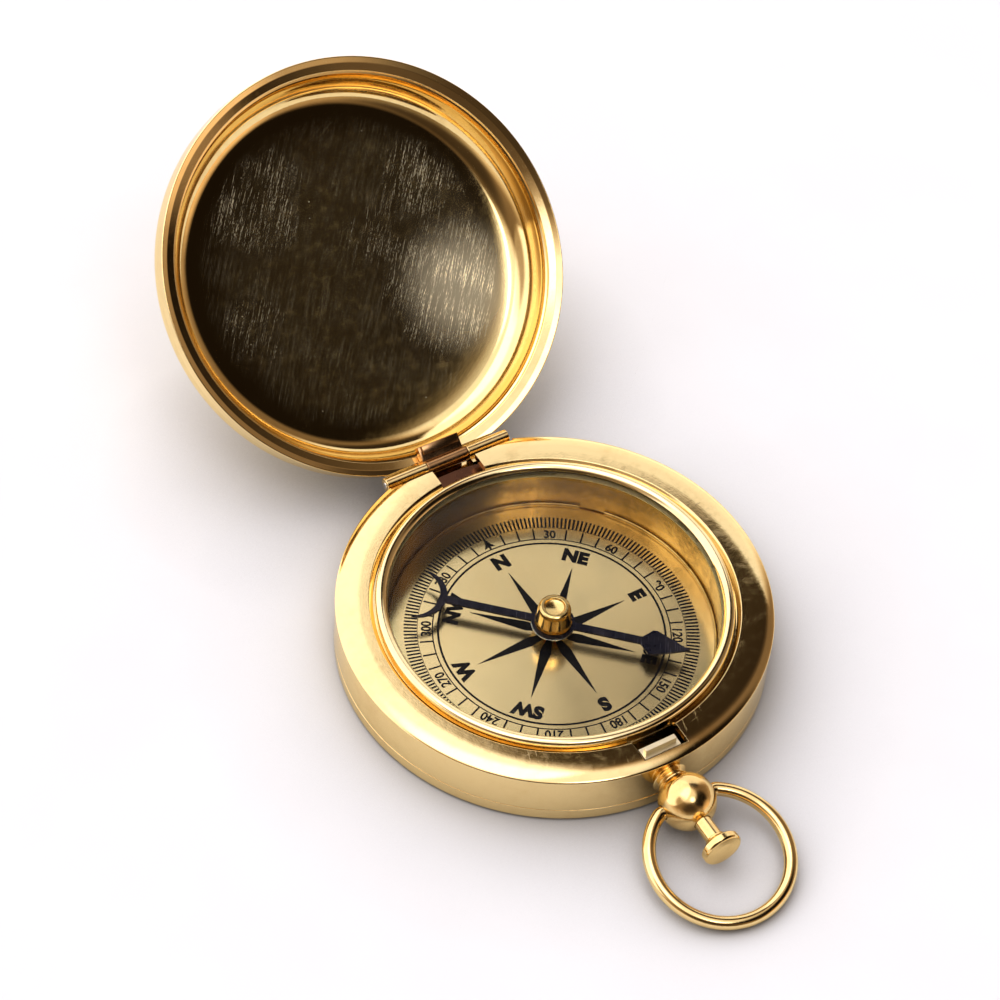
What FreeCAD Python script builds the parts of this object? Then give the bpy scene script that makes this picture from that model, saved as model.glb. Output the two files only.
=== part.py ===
import FreeCAD, Part
import math
import os

# Pocket compass in a round hinged case, with the lid standing open.
# Millimetres and degrees. The origin is the centre of the flat underside, +Z is up,
# the pendant points to -Y and the hinge is at +Y. Angles about Z start from +X.

os.makedirs("parts", exist_ok=True)

Vector = FreeCAD.Vector
X, Y, Z = Vector(1, 0, 0), Vector(0, 1, 0), Vector(0, 0, 1)
ORIGIN = Vector(0, 0, 0)

# ---------------------------------------------------------------- shared dimensions
case_r = 22.5
wall_t = 1.0
floor_t = 0.65
ledge_z = 6.80             # top face of the case body
edge_break = 0.06          # small chamfer on both sides of the case seam

cup_r = 17.70
cup_top_z = 6.00
dial_bottom, dial_top = 1.05, 1.45
pivot_r = 0.50

hinge_y, hinge_z = 22.25, 5.60
knuckle_r, hinge_pin_r = 0.75, 0.40
hinge_half_x = 7.40        # outer ends of the case knuckles
lid_knuckle_half_x = 2.40
rabbet_y, rabbet_z = 20.80, 4.50   # inner face and floor of the hinge rabbet

pendant_z = 3.60           # height of the button axis
tenon_r = 1.15

screw_circle_r = 20.15
latch_angle, lift_angle = -145.0, 35.0
latch_head_z, lift_head_z = 2.76, 3.36   # undersides of the screw heads
screw_shank_r, screw_length = 0.55, 3.14


# ---------------------------------------------------------------- helpers
def polygon_face(points):
    return Part.Face(Part.makePolygon(points + [points[0]]))


def revolve(points, angle=360.0, start=0.0):
    """Turn a closed (r, z) outline about Z."""
    solid = polygon_face([Vector(r, 0, z) for r, z in points]).revolve(ORIGIN, Z, angle)
    if start:
        solid.rotate(ORIGIN, Z, start)
    return solid


def revolve_y(points):
    """Turn a closed (r, y) outline about the button axis."""
    face = polygon_face([Vector(r, y, pendant_z) for r, y in points])
    return face.revolve(Vector(0, 0, pendant_z), Y, 360)


def chain(start, moves):
    """Edges through (r, z) points; a move is [end] for a line or [middle, end] for an arc."""
    edges = []
    for *middle, end in moves:
        points = [Vector(r, 0, z) for r, z in (start, *middle, end)]
        curve = Part.Arc if middle else Part.LineSegment
        edges.append(curve(*points).toShape())
        start = end
    return edges


def revolve_edges(edges):
    return Part.Face(Part.Wire(edges)).revolve(ORIGIN, Z, 360)


def sector(r0, r1, z0, z1, angle0, angle1):
    """Part of a flat ring between two angles."""
    return revolve([(r0, z0), (r1, z0), (r1, z1), (r0, z1)], angle1 - angle0, angle0)


def box(x0, x1, y0, y1, z0, z1):
    return Part.makeBox(x1 - x0, y1 - y0, z1 - z0, Vector(x0, y0, z0))


def cylinder_z(radius, z0, z1, centre=ORIGIN):
    return Part.makeCylinder(radius, z1 - z0, Vector(centre.x, centre.y, z0), Z)


def hinge_cylinder(radius, x0, x1):
    return Part.makeCylinder(radius, x1 - x0, Vector(x0, hinge_y, hinge_z), X)


def button_cylinder(radius, y0, y1):
    return Part.makeCylinder(radius, y1 - y0, Vector(0, y0, pendant_z), Y)


def polar(radius, degrees):
    angle = math.radians(degrees)
    return Vector(radius * math.cos(angle), radius * math.sin(angle), 0)


latch_screw = polar(screw_circle_r, latch_angle)
lift_screw = polar(screw_circle_r, lift_angle)


def save(shape, name):
    if shape.ShapeType == "Compound" and len(shape.Solids) == 1:
        shape = shape.Solids[0]
    shape.exportStep("parts/" + name + ".step")


# ---------------------------------------------------------------- case
seam_z = 1.80              # bottom edge of the case body
cover_top = seam_z - 0.05  # outer edge of the cover, just under the seam
cover_edge_r = 0.6         # rounding of the underside edge
cover_lip_out_r, cover_lip_in_r, cover_lip_top = 21.45, 20.70, 2.60

ledge_bottom = ledge_z - 0.80
ledge_in_r = 18.75
boss_r, boss_bottom = 1.10, 4.40
screw_hole_r = 0.56
notch_half_x = 2.60        # rear notch, for the lid knuckle
cut_top, cut_back_y = 7.2, 23.5    # cutters end above and behind the body


def back_cover():
    """Floor with a rounded edge and an upright lip inside the case wall."""
    round_r = case_r - cover_edge_r
    middle = (round_r + cover_edge_r * math.sin(math.pi / 4),
              cover_edge_r - cover_edge_r * math.cos(math.pi / 4))
    return revolve_edges(chain((0, 0), [
        [(round_r, 0)],
        [middle, (case_r, cover_edge_r)],
        [(case_r, cover_top - edge_break)],
        [(case_r - edge_break, cover_top)],
        [(cover_lip_out_r, cover_top)],
        [(cover_lip_out_r, cover_lip_top)],
        [(cover_lip_in_r, cover_lip_top)],
        [(cover_lip_in_r, floor_t)],
        [(0, floor_t)],
        [(0, 0)],
    ]))


def case_body():
    """Side wall and top ledge, with screw bosses and notches."""
    inner_r = case_r - wall_t
    body = revolve([
        (inner_r, seam_z), (case_r - edge_break, seam_z), (case_r, seam_z + edge_break),
        (case_r, 6.35), (case_r - 0.75, ledge_z), (19.10, ledge_z),
        (ledge_in_r, 6.45), (ledge_in_r, ledge_bottom), (inner_r, ledge_bottom),
    ])
    for centre in (latch_screw, lift_screw):
        body = body.fuse(cylinder_z(boss_r, boss_bottom, ledge_z - 0.3, centre))
    for centre, head_z in ((latch_screw, latch_head_z), (lift_screw, lift_head_z)):
        hole_top = head_z + screw_length + 0.05
        body = body.cut(cylinder_z(screw_hole_r, boss_bottom - 0.1, hole_top, centre))
    # front notch for the catch
    body = body.cut(box(-2.55, 2.55, -21.30, -18.0, 5.5, cut_top))
    # rear notch, then its shallower inner end
    body = body.cut(box(-notch_half_x, notch_half_x, 18.90, cut_back_y, 4.0, cut_top))
    body = body.cut(box(-notch_half_x, notch_half_x, 18.0, 19.0, 5.9, cut_top))
    # rabbet for the case knuckles
    rabbet_half_x = hinge_half_x + 0.05
    body = body.cut(box(-rabbet_half_x, rabbet_half_x, rabbet_y, cut_back_y, rabbet_z, cut_top))
    # hole through the side wall for the pendant tenon
    body = body.cut(button_cylinder(tenon_r, -23.5, -20.5))
    return body.removeSplitter()


# ---------------------------------------------------------------- capsule
cup_in_r = 17.10
dial_r, dial_chamfer = 16.95, 0.05
snap_in_r, snap_out_r = 16.80, 17.08
snap_bottom, snap_top, snap_chamfer = dial_top + 0.01, 1.94, 0.08
snap_gap_angle, snap_gap_half = 44.5, 4.6      # middle and half width of the gap
glass_r, glass_bottom, glass_top, glass_chamfer = 17.65, 6.15, 6.90, 0.1
bezel_r, bezel_bead_z, bezel_lip_r = 18.40, 7.30, 17.20
flange_r, flange_bottom, flange_top = 19.00, 5.60, 6.00    # foot of the bezel


def capsule_cup():
    return revolve([
        (pivot_r, floor_t), (cup_r, floor_t), (cup_r, cup_top_z),
        (cup_in_r, cup_top_z), (cup_in_r, dial_bottom), (pivot_r, dial_bottom),
    ])


def dial_plate():
    return revolve([
        (pivot_r, dial_bottom), (dial_r, dial_bottom), (dial_r, dial_top - dial_chamfer),
        (dial_r - dial_chamfer, dial_top), (pivot_r, dial_top),
    ])


def dial_snap_ring():
    """Split ring lying on the rim of the dial."""
    return revolve([
        (snap_in_r, snap_bottom), (snap_out_r, snap_bottom), (snap_out_r, snap_top),
        (snap_in_r + snap_chamfer, snap_top), (snap_in_r, snap_top - snap_chamfer),
    ], 360 - 2 * snap_gap_half, snap_gap_angle + snap_gap_half)


def bezel_ring():
    """Ring with a rounded bead on top and a flange notched at front and back."""
    crest = (17.85, bezel_bead_z)
    ring = revolve_edges(chain((cup_r, flange_bottom), [
        [(flange_r, flange_bottom)],
        [(flange_r, flange_top)],
        [(bezel_r, flange_top)],
        [(bezel_r, 6.85)],
        [(18.22, 7.18), crest],
        [(17.42, 7.18), (bezel_lip_r, glass_top)],
        [(cup_r, glass_top)],
        [(cup_r, flange_bottom)],
    ]))
    for y0, y1 in ((-19.5, -18.42), (18.42, 19.5)):
        ring = ring.cut(box(-2.75, 2.75, y0, y1, 5.5, 6.2))
    return ring.removeSplitter()


def crystal_glass():
    edge = glass_r - glass_chamfer
    return revolve([
        (0, glass_bottom), (edge, glass_bottom), (glass_r, glass_bottom + glass_chamfer),
        (glass_r, glass_top - glass_chamfer), (edge, glass_top), (0, glass_top),
    ])


def crystal_gasket():
    """Flat ring between the cup rim and the glass."""
    return sector(17.15, glass_r, cup_top_z, glass_bottom, 0, 360)


# ---------------------------------------------------------------- pivot and needle
needle_angle = -43.0       # direction of the arrow
needle_bottom, needle_top = 3.03, 3.27
bar_half_w = 0.45
sleeve_r = 1.0             # cap sleeve, which passes through needle and collar
sleeve_bottom = 2.80
jewel_r, jewel_top = 0.75, 4.95
cap_top = 5.82

# (x, y) corners, drawn along +X
arrow_outline = [
    (9.3, bar_half_w), (10.25, 1.55), (10.75, 1.55), (14.35, 0.0),
    (10.75, -1.55), (10.25, -1.55), (9.3, -bar_half_w),
]
bar_outline = [
    (-11.6, bar_half_w), (9.4, bar_half_w), (9.4, -bar_half_w), (-11.6, -bar_half_w),
]
horn_x, horn_y = -14.25, 3.10                  # tips of the crescent tail
crescent_near_x, crescent_far_x = -11.25, -12.0    # its two arcs on the X axis


def pivot_pin():
    return revolve([
        (0, floor_t), (pivot_r, floor_t), (pivot_r, 2.10), (0.35, 2.30), (0.35, 4.05), (0, 4.70),
    ])


def pivot_collar():
    return revolve([
        (pivot_r, dial_top), (1.00, dial_top), (1.00, 1.65), (0.85, 1.80), (pivot_r, 1.80),
    ])


def needle():
    """Arrow, bar, hub disc and crescent tail."""
    def flat(x, y):
        return Vector(x, y, needle_bottom)

    rise = Vector(0, 0, needle_top - needle_bottom)
    arrow, bar = [
        polygon_face([flat(x, y) for x, y in outline]).extrude(rise)
        for outline in (arrow_outline, bar_outline)
    ]
    plan = arrow.fuse(bar).fuse(cylinder_z(2.25, needle_bottom, needle_top))
    tip_a, tip_b = flat(horn_x, horn_y), flat(horn_x, -horn_y)
    near = Part.Arc(tip_a, flat(crescent_near_x, 0), tip_b).toShape()
    far = Part.Arc(tip_b, flat(crescent_far_x, 0), tip_a).toShape()
    plan = plan.fuse(Part.Face(Part.Wire([near, far])).extrude(rise)).removeSplitter()
    plan = plan.cut(cylinder_z(sleeve_r, 2.5, 4.5))
    plan.rotate(ORIGIN, Z, needle_angle)
    return plan


def needle_collar():
    """Ring under the needle."""
    return revolve([
        (sleeve_r, sleeve_bottom), (2.15, sleeve_bottom), (2.30, 2.92),
        (2.30, needle_bottom), (sleeve_r, needle_bottom),
    ])


def needle_cap():
    """Sleeve and domed cap with a dished top, hollow from below."""
    return revolve([
        (jewel_r, sleeve_bottom), (sleeve_r, sleeve_bottom), (sleeve_r, needle_top),
        (1.95, needle_top), (1.95, 3.50), (1.82, 3.75), (1.72, 5.35), (1.62, 5.68),
        (1.40, cap_top), (1.10, cap_top), (0.98, 5.60), (0, 5.52),
        (0, jewel_top), (jewel_r, jewel_top),
    ])


def needle_jewel():
    """Bearing in the cap, with a conical recess over the pivot tip."""
    return revolve([
        (0.50, 4.20), (jewel_r, 4.20), (jewel_r, jewel_top), (0, jewel_top), (0, 4.73),
    ])


# ---------------------------------------------------------------- hinge
def hinge_knuckle(x0, x1):
    """Case knuckle: a tube on a foot trimmed to the case outline."""
    foot = box(x0, x1, rabbet_y + 0.05, hinge_y, rabbet_z, hinge_z - 0.15)
    foot = foot.common(cylinder_z(case_r, 4.0, 7.0))
    solid = hinge_cylinder(knuckle_r, x0, x1).fuse(foot)
    return solid.cut(hinge_cylinder(hinge_pin_r, x0 - 1, x1 + 1)).removeSplitter()


def hinge_pin():
    return hinge_cylinder(hinge_pin_r, -hinge_half_x - 0.1, hinge_half_x + 0.1)


# ---------------------------------------------------------------- lid, drawn closed
lid_open = 141.5           # opening angle
lid_r = 22.40
lid_face_z = 6.86          # mating face of the rim
lid_band_z = 8.00          # joint between rim and shell
lid_step_r = 20.90
lid_bowl_r, lid_bowl_bottom, lid_bowl_top = 20.70, 7.55, 11.70
lid_disc_r = 17.50         # flat disc inside the bowl
lid_top_z = 12.75
lid_flat_y, lid_flat_top = 21.35, 7.40     # flat that clears the case knuckles
tongue_in_y, tongue_bottom = 19.90, 5.95


def open_lid(shape):
    shape.rotate(Vector(0, hinge_y, hinge_z), X, -lid_open)
    return shape


def lid_rim():
    rim = revolve([
        (lid_step_r, lid_face_z), (21.80, lid_face_z), (lid_r, 6.50), (lid_r, lid_band_z),
        (lid_bowl_r, lid_band_z), (lid_bowl_r, lid_bowl_bottom),
        (lid_step_r, lid_bowl_bottom - 0.1),
    ])
    half_x = hinge_half_x + 0.15
    rim = rim.cut(box(-half_x, half_x, lid_flat_y, 23.0, 6.0, lid_flat_top))
    return open_lid(rim.removeSplitter())


def lid_shell():
    """Domed shell with a quarter-ellipse bowl inside."""
    steps = 10
    points = []
    for i in range(steps + 1):
        angle = math.pi / 2 * i / steps
        r = lid_disc_r + (lid_bowl_r - lid_disc_r) * math.cos(angle)
        z = lid_band_z + (lid_bowl_top - lid_band_z) * math.sin(angle)
        points.append(Vector(r, 0, z))
    bowl = Part.BSplineCurve()
    bowl.interpolate(points)
    return open_lid(revolve_edges([bowl.toShape()] + chain((lid_disc_r, lid_bowl_top), [
        [(0, lid_bowl_top)],
        [(0, lid_top_z)],
        [(9.8, 12.63), (19.4, 12.20)],
        [(21.62, 11.05), (lid_r, 9.00)],
        [(lid_r, lid_band_z)],
        [(lid_bowl_r, lid_band_z)],
    ])))


def lid_tongue():
    """Lid knuckle with the plate, upright web and inner rib that join it to the rim."""
    half_x = lid_knuckle_half_x
    rib_half_x = half_x - 0.3
    tongue = hinge_cylinder(knuckle_r, -half_x, half_x)
    for block in (
        box(-half_x, half_x, tongue_in_y, hinge_y - 0.2, tongue_bottom, lid_face_z),
        box(-half_x, half_x, lid_flat_y, 22.20, tongue_bottom, lid_flat_top),
        box(-rib_half_x, rib_half_x, tongue_in_y, 20.80, 5.50, 6.0),
    ):
        tongue = tongue.fuse(block)
    tongue = tongue.cut(hinge_cylinder(hinge_pin_r + 0.04, -half_x - 1, half_x + 1))
    return open_lid(tongue.removeSplitter())


# ---------------------------------------------------------------- springs and screws
latch_z0, latch_z1 = 3.40, 4.35
catch_x0, catch_x1 = -2.35, 1.80
catch_y0, catch_y1 = -21.15, -19.80
lift_z0, lift_z1 = 3.99, 4.34
lift_slope = 3.2           # the strip climbs away from its screw
screw_head_r, screw_head_h = 1.00, 0.58


def latch_spring():
    """Screw eye, root, curved arm and catch block with an upright nose."""
    spring = cylinder_z(1.10, latch_z0, latch_z1, latch_screw)
    for block in (
        sector(19.60, 20.90, latch_z0, latch_z1, latch_angle, latch_angle + 7.0),
        sector(20.30, 20.90, latch_z0, 5.40, latch_angle + 5.6, -94.0),
        box(catch_x0, catch_x1, catch_y0, catch_y1, 3.00, 6.60),
        box(catch_x0 + 0.3, catch_x1 - 0.3, catch_y0 + 0.45, catch_y0 + 0.90, 6.50, 7.25),
    ):
        spring = spring.fuse(block)
    spring = spring.cut(cylinder_z(screw_shank_r + 0.05, 3.0, 5.0, latch_screw))
    return spring.removeSplitter()


def lift_spring():
    """Screw eye, flat root and a sloping curved strip."""
    strip = sector(19.20, 20.85, lift_z0, lift_z1, lift_angle, 96.0)
    tilt_centre = Vector(lift_screw.x, lift_screw.y, (lift_z0 + lift_z1) / 2)
    strip.rotate(tilt_centre, polar(1, lift_angle), lift_slope)
    strip = strip.cut(cylinder_z(1.6, 3.0, 6.0, lift_screw))
    root = sector(19.35, 20.80, lift_z0, lift_z1, lift_angle, lift_angle + 5.6)
    spring = cylinder_z(1.05, lift_z0, lift_z1, lift_screw).fuse(root).fuse(strip)
    spring = spring.cut(cylinder_z(screw_shank_r + 0.08, 3.0, 5.0, lift_screw))
    return spring.removeSplitter()


def screw(centre, z):
    """Screw with its slotted head facing down."""
    x, y = centre.x, centre.y
    solid = cylinder_z(screw_head_r, z, z + screw_head_h, centre)
    solid = solid.fuse(cylinder_z(screw_shank_r, z + 0.5, z + screw_length, centre))
    return solid.cut(box(x - 1.2, x + 1.2, y - 0.14, y + 0.14, z - 0.1, z + 0.25))


def spring_screws():
    return Part.makeCompound([screw(latch_screw, latch_head_z), screw(lift_screw, lift_head_z)])


# ---------------------------------------------------------------- pendant, button, bow
ball_y, ball_r = -25.70, 2.95
neck_r = 1.75
shaft_r, shaft_bore_r = 0.90, 0.95
shaft_out_y, shaft_in_y = -31.90, -21.25
shoulder_r, shoulder_y = 1.35, -27.10
counterbore_r, counterbore_y = 1.45, shoulder_y - 0.1
button_r, button_end_y = 2.08, -32.50

bow_wire_r = 0.70
bow_r = 7.12               # ring radius to the wire centre
bow_tilt = 12.0            # droop below horizontal
trunnion_x0, trunnion_x1 = 1.85, 3.0   # straight ends of the wire
bend_r = 0.90              # bend between trunnion and ring


def pendant_ball_blank():
    return Part.makeSphere(ball_r, Vector(0, ball_y, pendant_z))


def pendant_neck():
    """Waisted neck between ball and case, with a tenon through the case wall."""
    neck = revolve_y([
        (0, -24.2), (neck_r, -24.2), (neck_r, -23.15), (1.45, -22.95),
        (1.45, -22.75), (1.95, -22.45), (1.95, -21.9), (0, -21.9),
    ])
    neck = neck.cut(pendant_ball_blank()).cut(cylinder_z(case_r, 0, 8.0))
    neck = neck.fuse(button_cylinder(tenon_r, -22.6, -21.55))
    return neck.cut(button_cylinder(shaft_bore_r, -26, -20)).removeSplitter()


def pendant_ball():
    """Ball bored for the shaft, its shoulder and the two bow trunnions."""
    ball = pendant_ball_blank().cut(button_cylinder(shaft_bore_r, -30, -20))
    ball = ball.cut(button_cylinder(counterbore_r, counterbore_y, counterbore_y + 6.0))
    for side in (-1, 1):
        start = Vector(side * 1.70, ball_y, pendant_z)
        ball = ball.cut(Part.makeCylinder(bow_wire_r + 0.06, 3.0, start, Vector(side, 0, 0)))
    return ball


def button_shaft():
    shaft = button_cylinder(shaft_r, shaft_out_y, shaft_in_y)
    shoulder = button_cylinder(shoulder_r, shoulder_y, shoulder_y + 0.60)
    return shaft.fuse(shoulder).removeSplitter()


def button_head():
    return revolve_y([
        (0, shaft_out_y), (shaft_r, shaft_out_y), (shaft_r, -30.75), (1.12, -30.75),
        (1.24, -31.10), (1.85, -31.38), (button_r, -31.58), (button_r, -32.16),
        (1.94, -32.36), (1.20, -32.47), (0, button_end_y),
    ])


def bow_ring():
    """Wire ring whose ends bend tangentially into trunnions along X."""
    bend = math.asin(trunnion_x1 / (bow_r - bend_r))
    centre_y = -(bow_r * math.cos(bend) + bend_r * (1 - math.cos(bend)))

    def bend_point(side, angle):
        return Vector(side * (trunnion_x1 + bend_r * math.sin(angle)),
                      -bend_r * (1 - math.cos(angle)), 0)

    def half(side):
        """Wire end, then the start, middle and end of the bend."""
        bends = [bend_point(side, angle) for angle in (0, bend / 2, bend)]
        return [Vector(side * trunnion_x0, 0, 0)] + bends

    end_a, start_a, middle_a, ring_a = half(1)
    end_b, start_b, middle_b, ring_b = half(-1)
    path = Part.Wire([
        Part.LineSegment(end_a, start_a).toShape(),
        Part.Arc(start_a, middle_a, ring_a).toShape(),
        Part.Arc(ring_a, Vector(0, centre_y - bow_r, 0), ring_b).toShape(),
        Part.Arc(ring_b, middle_b, start_b).toShape(),
        Part.LineSegment(start_b, end_b).toShape(),
    ])
    section = Part.Wire([Part.Circle(end_a, X, bow_wire_r).toShape()])
    bow = path.makePipeShell([section], True, True)
    bow.rotate(ORIGIN, X, bow_tilt)
    bow.translate(Vector(0, ball_y, pendant_z))
    return bow


# ---------------------------------------------------------------- export
for piece in (
    back_cover, case_body, capsule_cup, dial_plate, dial_snap_ring, bezel_ring,
    crystal_glass, crystal_gasket, pivot_pin, pivot_collar, needle, needle_collar,
    needle_cap, needle_jewel, hinge_pin, lid_rim, lid_shell, lid_tongue, latch_spring,
    lift_spring, spring_screws, pendant_neck, pendant_ball, button_shaft, button_head, bow_ring,
):
    save(piece(), piece.__name__)

knuckle_in_x = lid_knuckle_half_x + 0.07
save(hinge_knuckle(-hinge_half_x, -knuckle_in_x), "hinge_knuckle_left")
save(hinge_knuckle(knuckle_in_x, hinge_half_x), "hinge_knuckle_right")
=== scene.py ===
# Pocket compass in a brass case, lying on the floor (z = 0) with its dial facing up.
# The dial axis is Z through the origin and north is +Y. The pendant, push button and bow
# lie towards -Y; the hinge is at +Y, and the lid is swung open up and back over it.
# Lengths are millimetres, turned into metres by MM when a mesh or shader is made.
import bpy
import bmesh
import math
import numpy as np
from mathutils import Matrix, Vector


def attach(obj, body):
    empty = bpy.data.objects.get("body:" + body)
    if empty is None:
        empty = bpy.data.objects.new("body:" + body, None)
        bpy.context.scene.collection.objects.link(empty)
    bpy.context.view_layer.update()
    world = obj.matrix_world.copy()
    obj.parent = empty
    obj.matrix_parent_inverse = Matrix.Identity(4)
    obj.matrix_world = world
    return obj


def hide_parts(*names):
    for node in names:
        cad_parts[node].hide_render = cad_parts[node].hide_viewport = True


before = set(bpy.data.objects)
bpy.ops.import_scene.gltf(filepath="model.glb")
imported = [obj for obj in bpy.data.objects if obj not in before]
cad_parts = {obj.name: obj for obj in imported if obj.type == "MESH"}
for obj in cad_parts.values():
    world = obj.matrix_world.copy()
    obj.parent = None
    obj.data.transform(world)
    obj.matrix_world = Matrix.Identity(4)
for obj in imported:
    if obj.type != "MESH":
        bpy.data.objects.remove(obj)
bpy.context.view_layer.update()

MM = 0.001
SEG = 360                       # steps round a large turned piece
rad = math.radians

# ---------------------------------------------------------------- shared dimensions
CASE_R = 22.5
CASE_TOP = 6.80
BACK_CORNER = 0.6               # rounding of the back cover's lower edge
BACK_TOP = 0.65                 # inner face of the back cover
CUP_R, CUP_TOP = 17.70, 6.0
DIAL_LOW, DIAL_TOP = 1.05, 1.45
PRINT_LOW, PRINT_TOP = 1.4495, 1.458
GLASS_R, GLASS_LOW, GLASS_TOP = 17.65, 6.15, 6.90
PIVOT_R = 0.50
NEEDLE_LOW, NEEDLE_TOP = 3.03, 3.27
NEEDLE_BORE = 1.0
NEEDLE_ANGLE = -43.0            # of the point, from +X towards +Y
HINGE_AT = (0, 22.25, 5.60)
HINGE_PIN_R, KNUCKLE_R = 0.40, 0.75
HINGE_END = 7.40                # outer ends of the knuckles
LID_R, LID_LOW = 22.40, 8.0
LID_INNER_R = 20.70
LID_OPEN = 141.5                # degrees
COVE_INNER_R = 17.5
STEM_Z = 3.60                   # height of the pendant and button axis
STEM_AT = (0, 0, STEM_Z)
BALL_Y, BALL_R = -25.70, 2.95
BALL_AT = (0, BALL_Y, STEM_Z)
BORE_R, SHAFT_R = 0.95, 0.90
WIRE_R, BOW_TILT = 0.70, 12.0

HINGE = Vector(HINGE_AT)
LID_TURN = (Matrix.Translation(HINGE * MM) @ Matrix.Rotation(-rad(LID_OPEN), 4, "X")
            @ Matrix.Translation(-HINGE * MM))


# ================================================================ outlines
def outline(corners, closed):
    """Corners (r, h[, fillet]) to a dense outline; tiny steps beside each fillet
    keep the neighbouring flats flat."""
    points, count = [], len(corners)
    for i, corner in enumerate(corners):
        here = np.array(corner[:2], float)
        fillet = corner[2] if len(corner) > 2 else 0.0
        if fillet <= 0 or (not closed and i in (0, count - 1)):
            points.append(tuple(here))
            continue
        to_last = np.array(corners[i - 1][:2], float) - here
        to_next = np.array(corners[(i + 1) % count][:2], float) - here
        last_len, next_len = np.linalg.norm(to_last), np.linalg.norm(to_next)
        to_last, to_next = to_last / last_len, to_next / next_len
        half = math.acos(max(-1.0, min(1.0, float(to_last @ to_next)))) / 2
        reach = fillet / math.tan(half)
        limit = 0.46 * min(last_len, next_len)
        if reach > limit:
            fillet, reach = fillet * limit / reach, limit
        middle = (to_last + to_next) / np.linalg.norm(to_last + to_next)
        center = here + middle * fillet / math.sin(half)
        start, end = here + to_last * reach, here + to_next * reach
        angle0 = math.atan2(*(start - center)[::-1])
        angle1 = math.atan2(*(end - center)[::-1])
        sweep = (angle1 - angle0 + math.pi) % (2 * math.pi) - math.pi
        steps = max(2, int(math.ceil(abs(sweep) / (math.pi / 2) * 7)))
        support = min(0.005, 0.03 * reach)
        points.append(tuple(start + to_last * support))
        for j in range(steps + 1):
            t = angle0 + sweep * j / steps
            points.append((center[0] + fillet * math.cos(t), center[1] + fillet * math.sin(t)))
        points.append(tuple(end + to_next * support))
    return points


def bezier(p0, p1, p2, p3, steps):
    """Points of a cubic curve, ends included."""
    points = []
    for i in range(steps + 1):
        t = i / steps
        weights = [(1 - t) ** 3, 3 * t * (1 - t) ** 2, 3 * t * t * (1 - t), t ** 3]
        points.append(tuple(sum(w * p[axis] for w, p in zip(weights, (p0, p1, p2, p3)))
                            for axis in (0, 1)))
    return points


def arc(first, middle, last, steps):
    """Points of the circle arc through three points."""
    ax, ay, bx, by, cx, cy = *first, *middle, *last
    d = 2 * (ax * (by - cy) + bx * (cy - ay) + cx * (ay - by))
    a2, b2, c2 = ax * ax + ay * ay, bx * bx + by * by, cx * cx + cy * cy
    ux = (a2 * (by - cy) + b2 * (cy - ay) + c2 * (ay - by)) / d
    uy = (a2 * (cx - bx) + b2 * (ax - cx) + c2 * (bx - ax)) / d
    r = math.hypot(ax - ux, ay - uy)
    t0, tm, t1 = (math.atan2(y - uy, x - ux) for x, y in (first, middle, last))
    sweep = (t1 - t0) % (2 * math.pi)
    if (tm - t0) % (2 * math.pi) > sweep:
        sweep -= 2 * math.pi
    angles = [t0 + sweep * i / steps for i in range(steps + 1)]
    return [(ux + r * math.cos(t), uy + r * math.sin(t)) for t in angles]


# ================================================================ meshes
def link_object(name, data):
    o = bpy.data.objects.new(name, data)
    bpy.context.scene.collection.objects.link(o)
    return o


def smooth(o, angle=32):
    mesh = o.data
    mesh.polygons.foreach_set("use_smooth", [True] * len(mesh.polygons))
    mesh.set_sharp_from_angle(angle=rad(angle))
    mesh.update()


def to_object(name, verts, faces, angle=32):
    mesh = bpy.data.meshes.new(name)
    mesh.from_pydata([(x * MM, y * MM, z * MM) for x, y, z in verts], [], faces)
    o = link_object(name, mesh)
    bm = bmesh.new()
    bm.from_mesh(mesh)
    bmesh.ops.remove_doubles(bm, verts=bm.verts, dist=1e-8)
    bmesh.ops.recalc_face_normals(bm, faces=bm.faces)
    bm.to_mesh(mesh)
    bm.free()
    smooth(o, angle)
    return o


def lathe(name, corners, seg=SEG, axis="Z", origin=(0, 0, 0), sweep=None):
    """Revolve corners (r, h[, fillet]), all round or over sweep = (from, to) degrees.
    An outline that starts and ends on the axis is closed by it."""
    polar = corners[0][0] == 0 and corners[-1][0] == 0
    profile = outline(corners, not polar)
    if sweep is None:
        angles = [2 * math.pi * j / seg for j in range(seg)]
    else:
        angles = [rad(sweep[0] + (sweep[1] - sweep[0]) * j / seg) for j in range(seg + 1)]
    count = len(angles)

    def place(r, h, t):
        c, s = r * math.cos(t), r * math.sin(t)
        x, y, z = {"Z": (c, s, h), "Y": (c, h, s), "X": (h, c, s)}[axis]
        return (x + origin[0], y + origin[1], z + origin[2])

    verts, rings = [], []
    for r, h in profile:
        if r < 1e-9:
            rings.append([len(verts)] * count)
            verts.append(place(0, h, 0))
        else:
            rings.append(list(range(len(verts), len(verts) + count)))
            verts += [place(r, h, t) for t in angles]
    faces = []
    pairs = list(zip(rings, rings[1:])) + ([] if polar else [(rings[-1], rings[0])])
    for low, high in pairs:
        for k in range(count if sweep is None else count - 1):
            n = (k + 1) % count
            face = [low[k], low[n], high[n], high[k]]
            face = [v for i, v in enumerate(face) if v != face[i - 1]]
            if len(face) > 2:
                faces.append(face)
    if sweep is not None:
        faces.append([ring[0] for ring in rings])
        faces.append([ring[-1] for ring in rings][::-1])
    return to_object(name, verts, faces)


def rod(radius, low, high, seg=64, axis="Z", origin=(0, 0, 0)):
    """Plain cylinder between two heights on its axis."""
    return lathe("rod", [(0, low), (radius, low), (radius, high), (0, high)], seg, axis, origin)


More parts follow.
